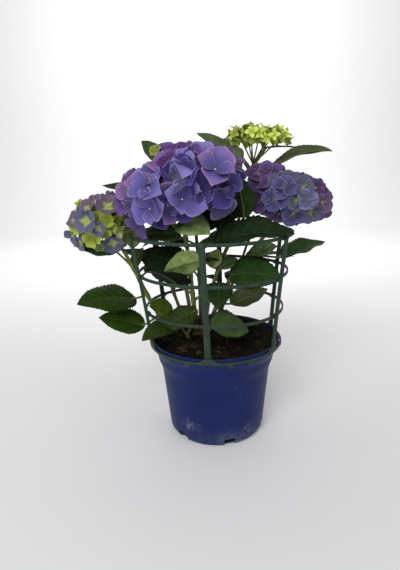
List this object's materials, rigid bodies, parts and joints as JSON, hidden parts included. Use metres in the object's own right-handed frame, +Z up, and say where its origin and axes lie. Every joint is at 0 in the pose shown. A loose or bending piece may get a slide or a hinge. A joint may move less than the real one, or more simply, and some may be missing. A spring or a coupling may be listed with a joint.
{
  "type": "potted hydrangea shrub",
  "caption": "Flowering hydrangea in a round blue nursery pot, its leafy stems and mop heads held by a green clip-on plant support.",
  "frame": {"origin": "centre of the pot's flat underside", "axes": "+Z up the pot's axis, -Y towards the front, +X to the right seen from the front"},
  "size_m": [0.2818, 0.2182, 0.3339],
  "materials": {
    "pot": "satin moulded plastic, deep blue, dusty in places",
    "soil": "damp dark peat, coarse and fibrous",
    "cage": "moulded plastic, muted green",
    "wood": "yellowish brown woody bark",
    "stem": "smooth green stem",
    "leaf": "dark green leaf, paler and greyer underneath",
    "bloom_main": "periwinkle petals with lilac rims",
    "bloom_left": "lime green centre with grey purple petals",
    "bloom_right": "muted dark purple petals with greenish centres",
    "bloom_back": "blue violet petals",
    "bloom_young": "bright lime green young florets"
  },
  "bodies": {
    "root": {"pot": "pot", "soil": "soil", "cage_ring": "cage", "cage_upright_1": "cage", "cage_upright_2": "cage", "cage_upright_3": "cage", "cage_upright_4": "cage", "cage_upright_5": "cage", "cage_upright_6": "cage", "cage_hoop_low": "cage", "cage_hoop_middle": "cage", "cage_hoop_top": "cage", "woody_foot": "wood", "stem_main": "stem", "stem_left": "stem", "stem_right": "stem", "stem_young": "stem", "stem_blind": "stem", "stem_back": "stem", "stem_rear_right": "stem", "stem_rear_left": "stem", "bloom_main": "bloom_main", "bloom_left": "bloom_left", "bloom_right": "bloom_right", "bloom_back": "bloom_back", "bloom_young": "bloom_young", "foliage_main": "leaf", "foliage_left": "leaf", "foliage_right": "leaf", "foliage_young": "leaf", "foliage_blind": "leaf", "foliage_back": "leaf", "foliage_rear_right": "leaf", "foliage_rear_left": "leaf", "foliage_low_left": "leaf", "foliage_low_front": "leaf"}
  },
  "joints": []
}
